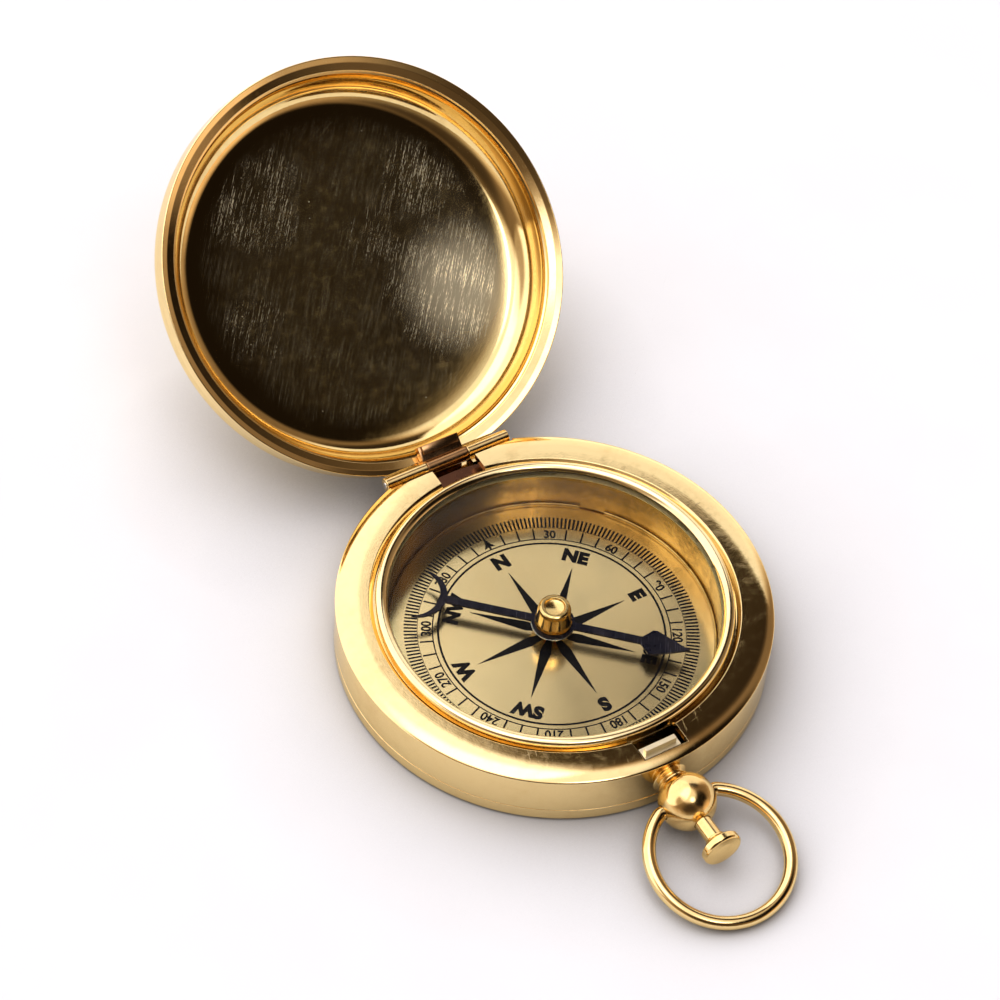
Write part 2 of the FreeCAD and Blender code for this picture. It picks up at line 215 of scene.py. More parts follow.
def prism(name, plan, z0, z1):
    """Extrude a plan outline upwards."""
    n = len(plan)
    verts = [(x, y, z0) for x, y in plan] + [(x, y, z1) for x, y in plan]
    faces = [list(range(n))[::-1], list(range(n, 2 * n))]
    faces += [[i, (i + 1) % n, n + (i + 1) % n, n + i] for i in range(n)]
    return to_object(name, verts, faces)


def block(x0, x1, y0, y1, z0, z1):
    return prism("block", [(x0, y0), (x1, y0), (x1, y1), (x0, y1)], z0, z1)


def centered_block(half_width, *ranges):
    """Block symmetric about x = 0; ranges are y0, y1, z0, z1."""
    return block(-half_width, half_width, *ranges)


def tube(name, path, radius, seg=40):
    """Round wire along a path of (x, y), its end edges softened."""
    edge, mid_edge = 0.12, 0.035
    points = [Vector((x, y, 0)) for x, y in path]
    n = len(points)
    along = [(points[min(i + 1, n - 1)] - points[max(i - 1, 0)]).normalized() for i in range(n)]
    first, last, start, end = points[0], points[-1], along[0], along[-1]
    stations = [(first, start, radius - edge),
                (first + start * mid_edge, start, radius - mid_edge),
                (first + start * edge, start, radius)]
    stations += [(points[i], along[i], radius) for i in range(1, n - 1)]
    stations += [(last - end * edge, end, radius),
                 (last - end * mid_edge, end, radius - mid_edge),
                 (last, end, radius - edge)]
    verts, rings = [], []
    for center, t, r in stations:
        side = Vector((-t.y, t.x, 0))
        rings.append(list(range(len(verts), len(verts) + seg)))
        for j in range(seg):
            a = 2 * math.pi * j / seg
            offset = side * (r * math.cos(a)) + Vector((0, 0, 1)) * (r * math.sin(a))
            verts.append(tuple(center + offset))
    faces = []
    for low, high in zip(rings, rings[1:]):
        for j in range(seg):
            k = (j + 1) % seg
            faces.append([low[j], low[k], high[k], high[j]])
    faces.append(rings[0][::-1])
    faces.append(rings[-1])
    return to_object(name, verts, faces, angle=40)


def apply_modifiers(o):
    bpy.context.view_layer.update()
    depsgraph = bpy.context.evaluated_depsgraph_get()
    mesh = bpy.data.meshes.new_from_object(o.evaluated_get(depsgraph))
    o.modifiers.clear()
    old, o.data = o.data, mesh
    bpy.data.meshes.remove(old)


def add_bevel(o, width, angle):
    bevel = o.modifiers.new("round", "BEVEL")
    bevel.width, bevel.segments = width * MM, 2
    bevel.limit_method, bevel.angle_limit = "ANGLE", rad(angle)


def boolean(o, tool, operation):
    modifier = o.modifiers.new("boolean", "BOOLEAN")
    modifier.operation, modifier.solver, modifier.object = operation, "EXACT", tool
    apply_modifiers(o)
    bpy.data.objects.remove(tool)
    smooth(o)


def cut(o, *tools):
    for tool in tools:
        boolean(o, tool, "DIFFERENCE")


def fuse(o, *tools):
    for tool in tools:
        boolean(o, tool, "UNION")


def turn(o, matrix):
    o.data.transform(matrix)
    o.data.update()


def join(name, objects):
    bm = bmesh.new()
    for o in objects:
        bm.from_mesh(o.data)
        bpy.data.objects.remove(o)
    mesh = bpy.data.meshes.new(name)
    bm.to_mesh(mesh)
    bm.free()
    joined = link_object(name, mesh)
    smooth(joined)
    return joined


def place_piece(o, body, slot, look, *replaced):
    """Give a piece its material and hand it to the frame."""
    o.data.materials.clear()
    o.data.materials.append(look)
    for face in o.data.polygons:
        face.material_index = 0
    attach(o, body)
    if replaced:
        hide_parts(*replaced)


# ================================================================ shader nodes
class Nodes:
    """Builds the node tree of a material or world; inputs are sockets or plain values."""

    PRINCIPLED = {"base": "Base Color", "metal": "Metallic", "rough": "Roughness",
                  "normal": "Normal", "tint": "Specular Tint", "aniso": "Anisotropic",
                  "aniso_turn": "Anisotropic Rotation", "tangent": "Tangent",
                  "coat": "Coat Weight", "ior": "IOR"}

    def __init__(self, owner):
        owner.use_nodes = True
        self.owner, self.tree = owner, owner.node_tree
        self.tree.nodes.clear()
        coords = self.tree.nodes.new("ShaderNodeTexCoord")
        self.place, self.sight = coords.outputs["Object"], coords.outputs["Generated"]

    def node(self, kind, inputs, **settings):
        node = self.tree.nodes.new("ShaderNode" + kind)
        for key, value in settings.items():
            setattr(node, key, value)
        for key, value in inputs.items():
            self.feed(node.inputs[key], value)
        return node

    def feed(self, socket, value):
        if isinstance(value, bpy.types.NodeSocket):
            self.tree.links.new(value, socket)
            return
        if isinstance(value, tuple) and len(value) == 3 and socket.type == "RGBA":
            value = (*value, 1.0)
        socket.default_value = value

    def math(self, operation, a, b=0.0):
        return self.node("Math", {0: a, 1: b, 2: 0.0}, operation=operation).outputs[0]

    def add(self, total, *values):
        for value in values:
            total = self.math("ADD", total, value)
        return total

    def mul(self, product, *values):
        for value in values:
            product = self.math("MULTIPLY", product, value)
        return product

    def invert(self, value):
        return self.math("SUBTRACT", 1.0, value)

    def highest(self, a, b):
        return self.math("MAXIMUM", a, b)

    def vector_math(self, operation, a, b=(0, 0, 0), output="Vector"):
        return self.node("VectorMath", {0: a, 1: b}, operation=operation).outputs[output]

    def minus(self, vector, point):
        return self.vector_math("SUBTRACT", vector, point)

    def distance(self, vector, point):
        return self.vector_math("LENGTH", self.minus(vector, point), output="Value")

    def dot(self, vector, other):
        return self.vector_math("DOT_PRODUCT", vector, other, output="Value")

    def ramp(self, value, start, end, low=0.0, high=1.0, kind="SMOOTHSTEP"):
        """low at start, high at end."""
        return self.node("MapRange", {"Value": value, "From Min": start, "From Max": end,
                                      "To Min": low, "To Max": high},
                         interpolation_type=kind).outputs[0]

    def mix(self, factor, a, b):
        return self.node("Mix", {0: factor, 6: a, 7: b}, data_type="RGBA").outputs[2]

    def mix_shader(self, factor, a, b):
        return self.node("MixShader", {0: factor, 1: a, 2: b}).outputs[0]

    def diffuse(self, color):
        return self.node("BsdfDiffuse", {"Color": color}).outputs[0]

    def noise(self, vector, scale, detail=2.0, rough=0.5, warp=0.0):
        return self.node("TexNoise", {"Vector": vector, "Scale": scale, "Detail": detail,
                                      "Roughness": rough, "Distortion": warp}).outputs[0]

    def mapping(self, vector, rot=(0, 0, 0), scale=(1, 1, 1), loc=(0, 0, 0)):
        return self.node("Mapping", {"Vector": vector, "Rotation": rot, "Scale": scale,
                                     "Location": loc}).outputs[0]

    def scratches(self, vector, rot, across, along, start, end, warp=0.6):
        """Short thin lines: noise squeezed across one direction."""
        vector = self.mapping(vector, rot=rot)
        vector = self.mapping(vector, scale=(across, along, along))
        return self.ramp(self.noise(vector, 1.0, 1.0, 0.5, warp), start, end)

    def split(self, vector, index):
        return self.node("SeparateXYZ", {0: vector}).outputs[index]

    def combine(self, x, y=0.0):
        return self.node("CombineXYZ", {0: x, 1: y, 2: 0.0}).outputs[0]

    def radius(self, vector, axis="Z"):
        p, q = (self.split(vector, i) for i in {"Z": (0, 1), "Y": (0, 2), "X": (1, 2)}[axis])
        return self.math("SQRT", self.add(self.mul(p, p), self.mul(q, q)))

    def turned_lines(self, position, scale):
        """Fine lines that follow a single coordinate."""
        return self.noise(self.combine(position), scale, detail=3, rough=0.7)

    def patches(self, coarse, fine):
        return self.add(self.mul(coarse, 0.6), self.mul(fine, 0.4))

    def dust(self, vector, scale, size, kept):
        """Specks with soft edges over size; kept is the ramp that picks the few shown."""
        dots = self.node("TexVoronoi", {"Vector": vector, "Scale": scale})
        pick = self.node("TexWhiteNoise", {"Vector": dots.outputs["Position"]})
        return self.mul(self.ramp(dots.outputs["Distance"], *size, low=1.0, high=0.0),
                        self.ramp(pick.outputs["Value"], *kept))

    def bump(self, height, depth, strength=1.0, edge=0):
        """depth in metres; edge is the radius in mm of shaded edge rounding."""
        inputs = {"Height": height, "Distance": depth, "Strength": strength}
        if edge:
            inputs["Normal"] = self.node("Bevel", {"Radius": edge * MM}, samples=2).outputs[0]
        return self.node("Bump", inputs).outputs[0]

    def principled(self, **inputs):
        named = {self.PRINCIPLED[key]: value for key, value in inputs.items()}
        return self.node("BsdfPrincipled", named).outputs[0]

    def output(self, shader, kind="OutputMaterial"):
        self.tree.links.new(shader, self.node(kind, {}).inputs["Surface"])
        return self.owner


def new_nodes(name):
    return Nodes(bpy.data.materials.new(name))


# ================================================================ materials
def brass(name, color=(0.90, 0.68, 0.325), dark=(0.66, 0.41, 0.15), rough=0.055, smudge=0.07,
          tarnish=0.35, ring_axis=None, ring_center=(0, 0, 0), ring_depth=0.5, edge=0,
          tint=(1.0, 0.95, 0.80)):
    """Polished brass with tarnish, smudges and hair scratches; turning lines if ring_axis."""
    m = new_nodes(name)
    cloud = m.noise(m.place, scale=130, detail=3, rough=0.55)
    mid = m.noise(m.place, scale=900, detail=4, rough=0.6)
    fine = m.noise(m.place, scale=7000)
    hair = m.highest(
        m.scratches(m.place, (0.3, 0.5, 0.4), across=13000, along=300, start=0.68, end=0.78),
        m.scratches(m.place, (1.1, -0.4, 1.5), across=15000, along=420, start=0.69, end=0.79))
    hair = m.mul(hair, m.ramp(cloud, start=0.45, end=0.62))
    base = m.mix(m.ramp(m.patches(cloud, mid), start=0.42, end=0.72, high=tarnish), color, dark)
    base = m.mix(m.mul(hair, 0.10), base, (0.95, 0.82, 0.55))
    roughness = m.add(rough, m.mul(m.ramp(mid, start=0.45, end=0.75), smudge),
                      m.mul(hair, 0.10))
    height = m.add(m.mul(fine, 0.25), m.mul(hair, 0.22), m.mul(mid, 0.9))
    if ring_axis:
        r = m.radius(m.minus(m.place, ring_center), ring_axis)
        height = m.add(height, m.mul(m.turned_lines(r, scale=9000), ring_depth))
    return m.output(m.principled(base=base, metal=1.0, rough=roughness, tint=tint,
                                 normal=m.bump(height, depth=3.5e-6, edge=edge)))


def well_brass():
    """Mottled brass of the cup that holds the dial, darker than the case: partly its own duller
    tone, partly painted shade inside the well.
    """
    m = new_nodes("brass_well")
    cloud = m.noise(m.place, scale=260, detail=4, rough=0.6)
    blot = m.noise(m.place, scale=1100, detail=3, rough=0.6)
    grit = m.noise(m.place, scale=9000)
    # dark base colour: partly the cup's own tone, partly painted shade for the inside of the well
    base = m.mix(m.ramp(m.patches(cloud, blot), start=0.38, end=0.66),
                 (0.52, 0.35, 0.13), (0.28, 0.17, 0.055))
    base = m.mix(m.ramp(blot, start=0.62, end=0.72, high=0.6), base, (0.80, 0.62, 0.30))
    lines = m.turned_lines(m.split(m.place, 2), scale=6000)
    height = m.add(m.mul(grit, 0.6), m.add(m.mul(blot, 0.35), m.mul(lines, 0.5)))
    return m.output(m.principled(base=base, metal=1.0, tint=(1, 0.95, 0.8),
                                 rough=m.ramp(cloud, start=0.3, end=0.7, low=0.15, high=0.26),
                                 normal=m.bump(height, depth=1.2e-5, strength=0.8)))


def dial_face():
    """Pale brass with circular brushing."""
    m = new_nodes("dial_brass")
    cloud = m.noise(m.place, scale=150, detail=4, rough=0.55)
    grit = m.noise(m.place, scale=8000)
    lines = m.turned_lines(m.radius(m.place), scale=7000)
    base = m.mix(m.ramp(cloud, start=0.35, end=0.7), (0.92, 0.725, 0.385), (0.84, 0.645, 0.33))
    base = m.mix(m.ramp(grit, start=0.60, end=0.75, high=0.25), base, (0.42, 0.32, 0.15))
    height = m.add(m.mul(grit, 0.25), m.mul(lines, 0.4))
    tangent = m.node("Tangent", {}, direction_type="RADIAL", axis="Z").outputs[0]
    return m.output(m.principled(base=base, metal=1.0, tint=(1, 0.97, 0.9),
                                 rough=m.ramp(cloud, start=0.3, end=0.7, low=0.17, high=0.22),
                                 normal=m.bump(height, depth=3e-6, strength=0.8),
                                 aniso=0.35, aniso_turn=0.25, tangent=tangent))


# brushed strokes of the lid: direction, scale across, scale along, ramp start, ramp end
LID_STROKES = (
    (-0.60, 15000, 170, 0.60, 0.70), (-0.66, 17000, 230, 0.62, 0.72),
    (-0.52, 14000, 150, 0.64, 0.74), (-0.78, 16000, 260, 0.66, 0.76),
)
# areas of the closed lid where the strokes show: x, y, radius (mm), amount; the first, strongest
# one is a painted highlight where the strokes catch the light, the others are worn patches
LID_WORN_AND_LIT = (
    (9.9, 5.0, 9.0, 1.0), (5.0, -3.0, 7.0, 0.16), (-7.6, -11.0, 9.0, 0.34),
    (12.0, -7.0, 6.5, 0.42), (-12.0, 2.0, 6.0, 0.2),
)


def lid_strokes(m, flat, r, inside):
    """Broken brush strokes on the flat of the lid, before wear and a painted highlight pick where
    they show.
    """
    strokes = None
    for k, (angle, across, along, start, end) in enumerate(LID_STROKES):
        shifted = m.mapping(flat, loc=(0.013 * k, 0.007 * k, 0.0))
        rot = (0, 0, angle)
        line = m.scratches(shifted, rot, across, along, start, end, warp=0.0)
        broken = m.scratches(shifted, rot, across * 0.5, along=2600, start=0.42, end=0.62,
                             warp=0.0)
        line = m.mul(line, m.add(0.25, m.mul(broken, 0.9)))
        strokes = line if strokes is None else m.highest(strokes, line)
    return m.mul(strokes, inside, m.ramp(r, start=15.5 * MM, end=17.2 * MM, low=1.0, high=0.0))


# where the strokes show: worn patches, and a painted highlight on the right of the flat
def lid_wear_and_light(m, flat):
    wear_and_light = 0.075                # least wear anywhere
    for x, y, reach, amount in LID_WORN_AND_LIT:
        away = m.distance(flat, (x * MM, y * MM, 0.0))
        wear_and_light = m.highest(wear_and_light, m.ramp(away, 0.2 * reach * MM, reach * MM, amount, 0.0))
    uneven = m.noise(flat, scale=260, detail=1, rough=0.5)
    return m.mul(wear_and_light, m.ramp(uneven, start=0.30, end=0.56, low=0.25))


def lid_brass():
    """One mirror for the lid's inner disc and cove: strokes and dust on the flat,
    cleaner on the curve, with a painted highlight (sheen) on the right of the flat. Worked out in
    the closed lid's coordinates."""
    m = new_nodes("brass_lid")
    closing = LID_TURN.inverted()
    place = m.mapping(m.place, rot=tuple(closing.to_euler()), loc=tuple(closing.translation))
    x, y, z = m.node("SeparateXYZ", {0: place}).outputs
    flat = m.combine(x, y)
    r = m.radius(place)
    inside = m.ramp(z, start=12.28 * MM, end=12.24 * MM)
    disc = m.mul(m.ramp(r, start=14.0 * MM, end=17.6 * MM, low=1.0, high=0.0), inside)
    cloud = m.noise(place, scale=120, detail=3, rough=0.55)
    mid = m.noise(place, scale=900, detail=4, rough=0.6)
    fine = m.noise(place, scale=7000)
    full_strokes = lid_strokes(m, flat, r, inside)
    # strokes kept in the worn patches and, strongest, in the painted highlight
    strokes = m.mul(full_strokes, lid_wear_and_light(m, flat))
    # painted highlight: a round patch of sheen on the right of the flat, standing in for the
    # light the lid catches there
    painted_sheen = m.distance(flat, (11.5 * MM, 5.6 * MM, 0.0))
    painted_sheen = m.mul(m.ramp(painted_sheen, start=1.5 * MM, end=8.5 * MM, low=1.0, high=0.0), inside)
    dust = m.mul(m.dust(flat, scale=1500.0, size=(0.05, 0.11), kept=(0.90, 0.93)), disc)

    base = m.mix(m.ramp(m.patches(cloud, mid), start=0.42, end=0.72, high=0.4),
                 (0.88, 0.66, 0.29), (0.60, 0.38, 0.14))
    # shown strokes lightened in colour, most of all in the painted highlight
    base = m.mix(m.mul(strokes, 0.2), base, (0.95, 0.86, 0.62))
    dull_outside = m.mul(m.invert(inside),
                         m.ramp(r, start=15.0 * MM, end=20.5 * MM, low=1.0, high=0.0))
    rough = m.add(m.add(0.06, m.mul(disc, 0.05)),
                  m.mul(m.ramp(mid, start=0.45, end=0.75), 0.05), m.mul(dull_outside, 0.30))
    lines = m.mul(m.turned_lines(r, scale=9000), m.invert(disc))
    height = m.add(m.mul(mid, 0.9), m.mul(lines, 0.5))
    height = m.add(m.mul(strokes, 0.25), m.add(m.mul(fine, 0.25), height))
    brushing = tuple(LID_TURN.to_3x3() @ Vector((0.834, 0.571, 0)))
    tangent = m.node("VectorTransform", {"Vector": brushing}, vector_type="VECTOR",
                     convert_from="OBJECT", convert_to="WORLD").outputs[0]
    mirror = m.principled(base=base, metal=1.0, rough=rough, tint=(1, 0.95, 0.8),
                          normal=m.bump(height, depth=4e-6),
                          aniso=m.mul(disc, 0.35), tangent=tangent)
    # painted highlight: a glossy lobe coloured above one, so the strokes and the painted sheen
    # shine brighter than the light they catch
    gloss = m.node("BsdfGlossy", {"Color": (1.7, 1.58, 1.2), "Roughness": 0.60}).outputs[0]
    painted_shine = m.mul(painted_sheen, m.add(0.20, m.mul(full_strokes, 1.0)))
    metal = m.mix_shader(m.highest(strokes, painted_shine), mirror, gloss)
    return m.output(m.mix_shader(m.mul(dust, 0.75), metal, m.diffuse((0.85, 0.76, 0.52))))


def blued():
    m = new_nodes("blued_steel")
    cloud = m.noise(m.place, scale=500, detail=3, rough=0.6)
    fine = m.noise(m.place, scale=6000)
    hair = m.scratches(m.place, (0, 0, 0.6), across=8000, along=300, start=0.62, end=0.72)
    base = m.mix(m.ramp(cloud, start=0.35, end=0.7),
                 (0.006, 0.006, 0.014), (0.016, 0.013, 0.020))
    base = m.mix(m.mul(hair, 0.25), base, (0.12, 0.12, 0.16))
    rough = m.add(m.ramp(cloud, start=0.3, end=0.7, low=0.26, high=0.38), m.mul(hair, 0.1))
    normal = m.bump(m.add(fine, hair), depth=3e-6, strength=0.7, edge=0.03)
    return m.output(m.principled(base=base, metal=0.85, rough=rough, normal=normal))


def steel(name, color=(0.62, 0.60, 0.56), rough=0.16, axis="Z", center=(0, 0, 0)):
    """Steel turned about an axis through center (metres)."""
    m = new_nodes(name)
    lines = m.turned_lines(m.radius(m.minus(m.place, center), axis), scale=8000)
    cloud = m.noise(m.place, scale=700, detail=3, rough=0.6)
    base = m.mix(m.ramp(cloud, start=0.4, end=0.7, high=0.5),
                 color, tuple(channel * 0.6 for channel in color))
    roughness = m.add(rough, m.ramp(cloud, start=0.4, end=0.7, high=0.12))
    normal = m.bump(m.add(lines, m.mul(cloud, 0.5)), depth=3e-6, strength=0.8, edge=0.03)
    return m.output(m.principled(base=base, metal=1.0, rough=roughness, normal=normal))


def ink():
    m = new_nodes("dial_ink")
    grain = m.noise(m.place, scale=5000, detail=3, rough=0.6)
    base = m.mix(m.ramp(grain, start=0.5, end=0.75, high=0.6),
                 (0.004, 0.0035, 0.005), (0.025, 0.02, 0.014))
    return m.output(m.principled(base=base, metal=0.0, ior=1.18,
                                 rough=m.ramp(grain, start=0.3, end=0.7, low=0.35, high=0.55),
                                 normal=m.bump(grain, depth=3e-6, strength=0.6)))


def glass():
    """Clear see-through sheet with weak reflections, smears and dust."""
    m = new_nodes("crystal")
    smear = m.noise(m.mapping(m.place, rot=(0, 0, 0.5), scale=(260, 90, 200)),
                    scale=1.0, detail=3, rough=0.6)
    dust = m.dust(m.place, scale=900.0, size=(0.03, 0.07), kept=(0.93, 0.95))
    reflection = m.mul(m.node("Fresnel", {"IOR": 1.30}).outputs[0], 0.30)
    rough = m.ramp(smear, start=0.4, end=0.75, low=0.02, high=0.09)
    gloss = m.node("BsdfGlossy", {"Color": (1, 1, 1), "Roughness": rough}).outputs[0]
    tint = m.mix(m.ramp(m.radius(m.place), start=16.0 * MM, end=17.6 * MM),
                 (0.985, 0.99, 0.975), (0.93, 0.96, 0.93))
    clear = m.node("BsdfTransparent", {"Color": tint}).outputs[0]
    haze = m.add(m.mul(dust, 0.25), m.ramp(smear, start=0.55, end=0.85, high=0.004))
    return m.output(m.mix_shader(haze, m.mix_shader(reflection, clear, gloss),
                                 m.diffuse((0.8, 0.8, 0.78))))


def gasket():
    m = new_nodes("gasket")
    grain = m.noise(m.place, scale=4000, detail=3)
    base = m.mix(m.ramp(grain, start=0.4, end=0.7), (0.30, 0.22, 0.10), (0.38, 0.29, 0.14))
    return m.output(m.principled(base=base,
                                 rough=m.ramp(grain, start=0.3, end=0.7, low=0.55, high=0.8),
                                 normal=m.bump(grain, depth=1e-5, strength=0.7)))


def jewel():
    m = new_nodes("jewel")
    grain = m.noise(m.place, scale=2500)
    base = m.mix(m.ramp(grain, start=0.4, end=0.7), (0.45, 0.02, 0.06), (0.30, 0.01, 0.04))
    return m.output(m.principled(base=base, rough=0.08, coat=0.6,
                                 normal=m.bump(grain, depth=2e-6, strength=0.5)))


brass_polished = brass("brass_polished")
brass_case = brass("brass_case", ring_axis="Z", ring_depth=0.35, edge=0.07)
brass_pendant = brass("brass_pendant", color=(0.86, 0.62, 0.26), rough=0.14, smudge=0.10,
                      tarnish=0.7, ring_axis="Y", ring_center=(0, 0, STEM_Z * MM))
brass_wire = brass("brass_wire", color=(0.86, 0.64, 0.29), rough=0.11, tarnish=0.5)
brass_hinge = brass("brass_hinge", rough=0.12, tarnish=0.7, edge=0.05)
# the tongue is given a dark brown colour all over, darker still in patches
brass_tongue = brass("brass_tongue", color=(0.42, 0.24, 0.11), dark=(0.16, 0.07, 0.03),
                     rough=0.20, tarnish=0.9, edge=0.05, tint=(1, 0.8, 0.6))
brass_bezel = brass("brass_bezel", color=(0.90, 0.72, 0.39), dark=(0.70, 0.48, 0.20),
                    rough=0.08, ring_axis="Z", ring_depth=0.35, edge=0.05)
brass_latch = brass("brass_latch", color=(0.95, 0.82, 0.55), rough=0.28, edge=0.05)
brass_cap = brass("brass_cap", color=(0.78, 0.56, 0.24), rough=0.13, tarnish=0.3, ring_axis="Z")
brass_back = brass("brass_back", rough=0.09, ring_axis="Z", ring_depth=0.6)
brass_well = well_brass()
dial_brass = dial_face()
brass_lid = lid_brass()
blued_steel = blued()
bright_steel = steel("bright_steel")
pin_steel = steel("pin_steel", rough=0.2, axis="X", center=tuple(v * MM for v in HINGE_AT))
spring_steel = steel("spring_steel", color=(0.13, 0.055, 0.03), rough=0.25)
dial_ink = ink()
crystal = glass()
gasket_look = gasket()
jewel_look = jewel()


# ================================================================ case
# Outline tables of turned pieces hold (radius, height[, fillet]).
def back_cover():
    flat_r = CASE_R - BACK_CORNER
    corner = arc((flat_r, 0), (flat_r + BACK_CORNER * math.sin(rad(45)),
                               BACK_CORNER - BACK_CORNER * math.cos(rad(45))),
                 (CASE_R, BACK_CORNER), 10)
    cover = lathe("back_cover_pressed", [(0, 0)] + corner + [
        (CASE_R, 1.75, 0.07), (21.45, 1.75, 0.03), (21.45, 2.60, 0.1), (20.70, 2.60, 0.1),
        (20.70, BACK_TOP, 0.15), (0, BACK_TOP)])
    place_piece(cover, "case", "brass_polished", brass_back, "back_cover")


# notches in the case body: half width, y0, y1, z0, z1
BODY_NOTCHES = (
    (2.55, -21.30, -18.0, 5.5, 7.2),        # pendant side
    (2.60, 18.90, 23.5, 4.0, 7.2),          # between the hinge knuckles
    (2.60, 18.0, 19.0, 5.9, 7.2),           # inner lip on the hinge side
    (7.45, 20.80, 23.5, 4.50, 7.2),         # full hinge width
)


def case_body():
    shoulder = bezier((19.9, CASE_TOP), (21.0, CASE_TOP), (21.75, 6.74), (22.42, 6.36), 18)
    body = lathe("case_body_spun", [
        (21.5, 1.80, 0.03), (CASE_R, 1.80, 0.07), (CASE_R, 6.27, 0.10), *shoulder[::-1],
        (19.05, CASE_TOP, 0.10), (18.62, 6.42, 0.06), (18.62, 6.0), (21.5, 6.0, 0.15)])
    for notch in BODY_NOTCHES:
        cut(body, centered_block(*notch))
    cut(body, rod(1.15, -23.5, -20.5, axis="Y", origin=STEM_AT))
    place_piece(body, "case", "brass_polished", brass_case, "case_body")


def dial_well():
    """Cup, dial plate and the split wire ring that sits on the plate."""
    cup = lathe("capsule_cup_spun", [
        (PIVOT_R, BACK_TOP), (CUP_R, BACK_TOP), (CUP_R, CUP_TOP), (17.10, CUP_TOP, 0.08),
        (17.10, DIAL_LOW, 0.15), (PIVOT_R, DIAL_LOW)])
    place_piece(cup, "case", "brass_matte", brass_well, "capsule_cup")
    dial = lathe("dial_plate_turned", [
        (PIVOT_R, DIAL_LOW), (16.95, DIAL_LOW), (16.95, DIAL_TOP, 0.06), (PIVOT_R, DIAL_TOP)])
    place_piece(dial, "case", "dial_brass", dial_brass, "dial_plate")
    snap = lathe("dial_snap_wire", [
        (16.80, 1.46, 0.1), (17.08, 1.46, 0.05), (17.08, 1.94, 0.1), (16.80, 1.94, 0.13)],
        seg=300, sweep=(49.1, 399.9))
    place_piece(snap, "case", "brass_matte", brass_well, "dial_snap_ring")


def bezel():
    bead_top = (17.85, 7.30)
    bead = bezier((18.40, 6.75), (18.40, 7.12), (18.15, 7.30), bead_top, 12)
    bead += bezier(bead_top, (17.55, 7.30), (17.35, 7.10), (17.20, 6.90), 10)[1:]
    ring = lathe("bezel_ring_turned", [
        (CUP_R, 5.60), (19.0, 5.60), (19.0, 6.0), (18.40, 6.0), *bead, (CUP_R, 6.90)])
    for y0, y1 in ((-19.5, -18.42), (18.42, 19.5)):
        cut(ring, centered_block(2.75, y0, y1, 5.5, 6.2))
    place_piece(ring, "case", "brass_polished", brass_bezel, "bezel_ring")


def crystal_and_seat():
    disc = lathe("crystal_disc", [
        (0, GLASS_LOW), (GLASS_R, GLASS_LOW, 0.08), (GLASS_R, GLASS_TOP, 0.08), (0, GLASS_TOP)])
    place_piece(disc, "case", "crystal", crystal, "crystal_glass")
    seat = lathe("crystal_seat", [
        (17.15, CUP_TOP), (GLASS_R, CUP_TOP, 0.03), (GLASS_R, GLASS_LOW, 0.03),
        (17.15, GLASS_LOW, 0.05)])
    place_piece(seat, "case", "gasket", gasket_look, "crystal_gasket")


# ================================================================ dial print
# compass rose ray along +X: x, y
ROSE_RAY = [(1.02, -0.28), (2.75, -0.60), (8.80, -0.02), (8.80, 0.02), (2.75, 0.60), (1.02, 0.28)]
# spearhead over the N: x, y
SPEARHEAD = [
    (-0.12, 12.36), (0.12, 12.36), (0.12, 12.75), (0.62, 12.62), (0.30, 13.15), (0.0, 14.1),
    (-0.30, 13.15), (-0.62, 12.62), (-0.12, 12.75),
]


def printed(plan, degrees=0):
    """Ink shape from a plan drawn along +X and turned about the centre."""
    c, s = math.cos(rad(degrees)), math.sin(rad(degrees))
    return prism("ink", [(x * c - y * s, x * s + y * c) for x, y in plan], PRINT_LOW, PRINT_TOP)


def tick(degrees, r0, r1, width):
    half = width / 2
    return printed([(r0, -half), (r1, -half), (r1, half), (r0, half)], degrees)


def circle(r0, r1):
    return lathe("ink", [(r0, PRINT_LOW), (r1, PRINT_LOW), (r1, PRINT_TOP), (r0, PRINT_TOP)],
                 seg=240)


def letters(word, degrees, r, height, squeeze, weight, spacing):
    """Word centred at radius r, upright when seen from the dial's centre."""
    text = bpy.data.curves.new("text", "FONT")
    text.body = word
    text.align_x, text.align_y = "CENTER", "CENTER"
    text.offset, text.space_character = weight, spacing
    o = link_object("text", text)
    bpy.context.view_layer.update()
    depsgraph = bpy.context.evaluated_depsgraph_get()
    mesh = bpy.data.meshes.new_from_object(o.evaluated_get(depsgraph))
    bpy.data.objects.remove(o)
    bm = bmesh.new()
    bm.from_mesh(mesh)
    bmesh.ops.remove_doubles(bm, verts=bm.verts, dist=1e-6)
    xs = [v.co.x for v in bm.verts]
    ys = [v.co.y for v in bm.verts]
    scale = height / (max(ys) - min(ys))
    mid_x, mid_y = (max(xs) + min(xs)) / 2, (max(ys) + min(ys)) / 2
    for v in bm.verts:
        v.co = Vector(((v.co.x - mid_x) * scale * squeeze, (v.co.y - mid_y) * scale, 0))
    top = bmesh.ops.extrude_face_region(bm, geom=bm.faces[:])["geom"]
    for v in (item for item in top if isinstance(item, bmesh.types.BMVert)):
        v.co.z = PRINT_TOP - PRINT_LOW
    bmesh.ops.recalc_face_normals(bm, faces=bm.faces)
    x, y = r * math.cos(rad(degrees)), r * math.sin(rad(degrees))
    matrix = (Matrix.Scale(MM, 4) @ Matrix.Translation((x, y, PRINT_LOW))
              @ Matrix.Rotation(rad(degrees - 90), 4, "Z"))
    bmesh.ops.transform(bm, matrix=matrix, verts=bm.verts)
    bm.to_mesh(mesh)
    bm.free()
    return link_object("text", mesh)


